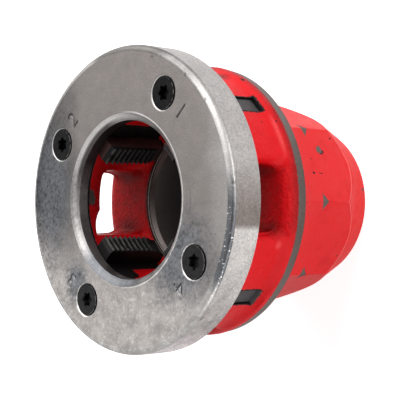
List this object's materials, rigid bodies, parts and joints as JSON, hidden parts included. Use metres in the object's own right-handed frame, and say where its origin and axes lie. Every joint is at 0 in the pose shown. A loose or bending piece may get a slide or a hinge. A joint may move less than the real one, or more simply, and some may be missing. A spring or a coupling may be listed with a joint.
{
  "type": "pipe threading die head",
  "caption": "Fixed die head for cutting taper pipe threads: a painted cast body with an eight-sided shank, thread-cutting dies in slots and a screwed cover ring.",
  "frame": {"origin": "centre of the shank's end face, on the pipe's axis, at the base that the head stands on", "axes": "+Z along the pipe's axis, from the shank's end up to the cover plate; a window opens towards +X and +Y, and the dies stand at 45 degrees between them"},
  "size_m": [0.108, 0.108, 0.096],
  "materials": {
    "red_paint": "semi-gloss red enamel on cast iron, worn off on edges and turned faces",
    "cast_alloy": "bare die-cast alloy, mottled grey, with a bright turned rim",
    "die_steel": "dark hardened tool steel",
    "black_steel": "black oxide"
  },
  "bodies": {
    "root": {"head_body": "red_paint", "cover_plate": "cast_alloy", "die_1": "die_steel", "die_2": "die_steel", "die_3": "die_steel", "die_4": "die_steel", "cover_screws": "black_steel"}
  },
  "joints": []
}
